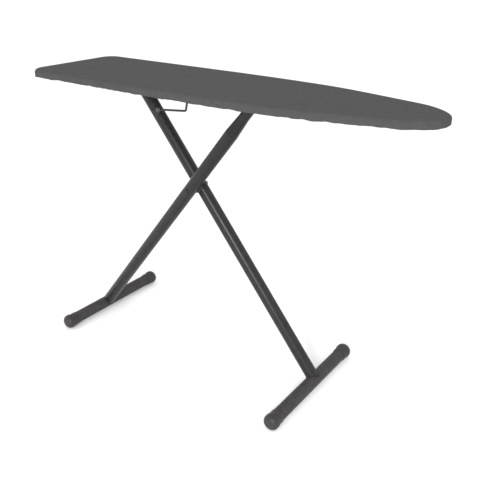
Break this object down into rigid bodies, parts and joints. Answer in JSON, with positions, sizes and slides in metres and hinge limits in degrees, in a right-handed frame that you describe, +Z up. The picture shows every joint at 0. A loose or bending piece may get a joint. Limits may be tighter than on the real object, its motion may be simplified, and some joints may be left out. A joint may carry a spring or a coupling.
{
  "type": "ironing board",
  "caption": "Folding ironing board with a padded, cloth-covered steel top on two crossing tube legs with T feet and a wire release lever.",
  "frame": {"origin": "on the floor, under the middle of the top", "axes": "+X along the top towards the nose, +Z up, legs open"},
  "size_m": [1.2299, 0.444, 0.869],
  "materials": {
    "cover_cloth": "charcoal cotton cloth, stretched",
    "elastic": "flat woven elastic",
    "felt_pad": "needled felt",
    "painted_sheet": "dark grey powder coat",
    "powder_coat": "satin charcoal powder coat",
    "cap_plastic": "moulded, satin",
    "moulded_plastic": "moulded, matte",
    "nylon": "moulded black nylon",
    "zinc_steel": "zinc plated",
    "black_steel": "black oxide",
    "spring_steel": "drawn wire",
    "black_wire": "black dip coat"
  },
  "bodies": {
    "board": {"cover": "cover_cloth", "hem_elastic": "elastic", "pad": "felt_pad", "mesh_top": "painted_sheet", "rim": "painted_sheet", "cross_ribs": "painted_sheet", "long_rib_near": "painted_sheet", "long_rib_far": "painted_sheet", "slide_track": "painted_sheet", "hinge_bracket": "painted_sheet", "height_rack": "painted_sheet", "track_rivets": "zinc_steel", "bracket_rivets": "zinc_steel", "hinge_pin": "zinc_steel", "hinge_pin_cap": "zinc_steel"},
    "nose_leg": {"nose_leg_tube": "powder_coat", "nose_leg_plug": "moulded_plastic", "nose_foot_tube": "powder_coat", "nose_cap_near": "cap_plastic", "nose_cap_far": "cap_plastic", "hinge_bush": "nylon", "pivot_bolt": "black_steel", "pivot_spacer": "nylon", "pivot_nut": "black_steel", "lever_lug": "powder_coat"},
    "tail_leg": {"tail_leg_tube": "powder_coat", "tail_leg_plug": "moulded_plastic", "tail_foot_tube": "powder_coat", "tail_cap_near": "cap_plastic", "tail_cap_far": "cap_plastic", "pivot_bush": "nylon", "slide_pin": "zinc_steel", "slide_pin_cap": "zinc_steel"},
    "slide_blocks": {"slide_block_near": "nylon", "slide_block_far": "nylon"},
    "lever_pivot": {"lever_pin": "zinc_steel", "lever_spring": "spring_steel"},
    "release_lever": {"lever_wire": "black_wire"}
  },
  "joints": [
    {"name": "fold", "type": "hinge", "parent": "board", "child": "nose_leg", "pos_m": [-0.3295, 0.024, 0.823], "axis": [0, -1, 0], "range_deg": [0, 51.23]},
    {"name": "cross", "type": "hinge", "parent": "nose_leg", "child": "tail_leg", "pos_m": [-0.111, 0, 0.55094], "axis": [0, -1, 0], "range_deg": [-102.47, 0]},
    {"name": "slide_turn", "type": "hinge", "parent": "tail_leg", "child": "slide_blocks", "pos_m": [0.1075, -0.024, 0.823], "axis": [0, -1, 0], "range_deg": [0, 51.24]},
    {"name": "lever_follow", "type": "hinge", "parent": "nose_leg", "child": "lever_pivot", "pos_m": [-0.24359, 0, 0.76553], "axis": [0, -1, 0], "range_deg": [-87.67, 0]},
    {"name": "lever_release", "type": "hinge", "parent": "lever_pivot", "child": "release_lever", "pos_m": [-0.24359, 0, 0.76553], "axis": [0, -1, 0], "range_deg": [-6, 0], "stiffness_Nm_per_rad": 0.6, "springref_deg": 20.05}
  ],
  "couplings": [
    {"joint": "cross", "follows": "fold", "ratio": -2},
    {"joint": "slide_turn", "follows": "fold", "ratio": 1},
    {"joint": "lever_follow", "follows": "fold", "ratio": -1.711}
  ]
}
